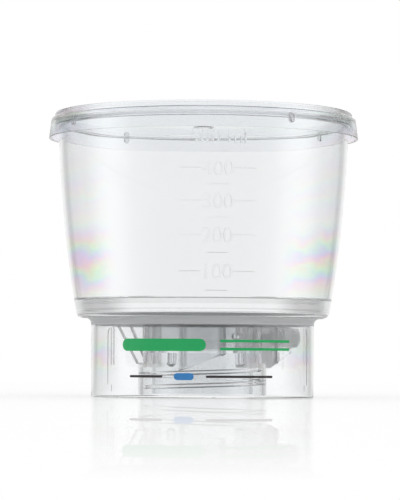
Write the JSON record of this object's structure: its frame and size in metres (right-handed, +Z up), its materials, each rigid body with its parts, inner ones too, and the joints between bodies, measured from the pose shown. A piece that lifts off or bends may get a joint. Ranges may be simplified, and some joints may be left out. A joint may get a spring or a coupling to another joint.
{
  "type": "vacuum filtration unit",
  "caption": "Clear bottle-top vacuum filter: lidded graduated funnel on a base with membrane, threaded collar, drain and side vacuum port.",
  "frame": {"origin": "middle of the circle on which the base's skirt stands", "axes": "+Z up along the funnel's axis; -Y towards the graduated front; the vacuum port points to +X and +Y"},
  "size_m": [0.1194, 0.1194, 0.1089],
  "materials": {
    "clear_base": "clear polystyrene, gloss",
    "fibre": "white fibre wad",
    "membrane": "white, matt",
    "clear_funnel": "clear polystyrene, gloss",
    "clear_lid": "clear polystyrene, gloss"
  },
  "bodies": {
    "root": {"base": "clear_base", "port_plug": "fibre", "membrane": "membrane", "funnel": "clear_funnel", "lid": "clear_lid"}
  },
  "joints": []
}
